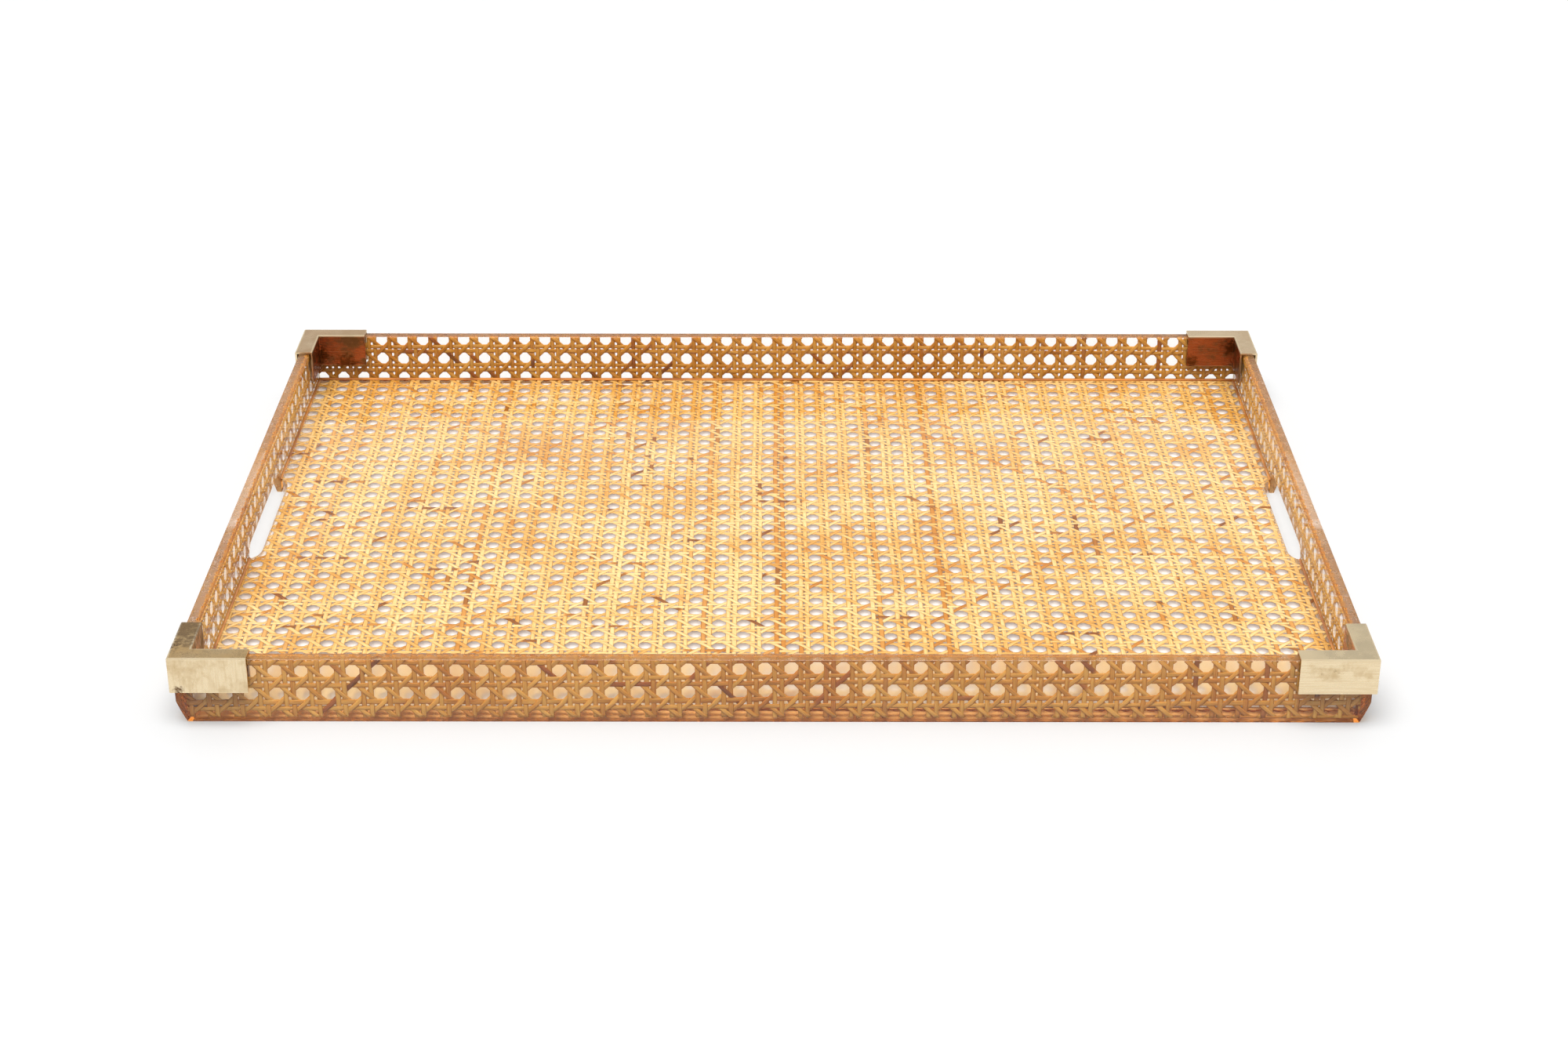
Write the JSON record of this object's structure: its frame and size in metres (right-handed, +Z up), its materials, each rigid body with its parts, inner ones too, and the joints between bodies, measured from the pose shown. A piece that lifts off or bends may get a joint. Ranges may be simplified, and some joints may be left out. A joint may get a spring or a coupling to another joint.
{
  "type": "serving tray",
  "caption": "Shallow rectangular serving tray of clear sheet with woven cane sealed inside the floor and walls, brass corner caps, and a finger grip cut in each short wall.",
  "frame": {"origin": "on the table, under the middle of the tray", "axes": "+X along the long walls, -Y is the front long wall, +Z up"},
  "size_m": [0.5932, 0.4266, 0.0386],
  "materials": {
    "clear_sheet": "clear cast acrylic, polished, with amber-tinted edges over the cane",
    "cane": "natural half-inch woven cane, satin, with darker strands",
    "brass": "brushed, lightly aged brass with a thin patina"
  },
  "bodies": {
    "root": {"floor_under_sheet": "clear_sheet", "floor_cane": "cane", "floor_top_sheet": "clear_sheet", "front_wall_outer_sheet": "clear_sheet", "front_wall_cane": "cane", "front_wall_liner": "clear_sheet", "right_wall_outer_sheet": "clear_sheet", "right_wall_cane": "cane", "right_wall_liner": "clear_sheet", "back_wall_outer_sheet": "clear_sheet", "back_wall_cane": "cane", "back_wall_liner": "clear_sheet", "left_wall_outer_sheet": "clear_sheet", "left_wall_cane": "cane", "left_wall_liner": "clear_sheet", "cap_front_left": "brass", "cap_front_right": "brass", "cap_back_left": "brass", "cap_back_right": "brass"}
  },
  "joints": []
}
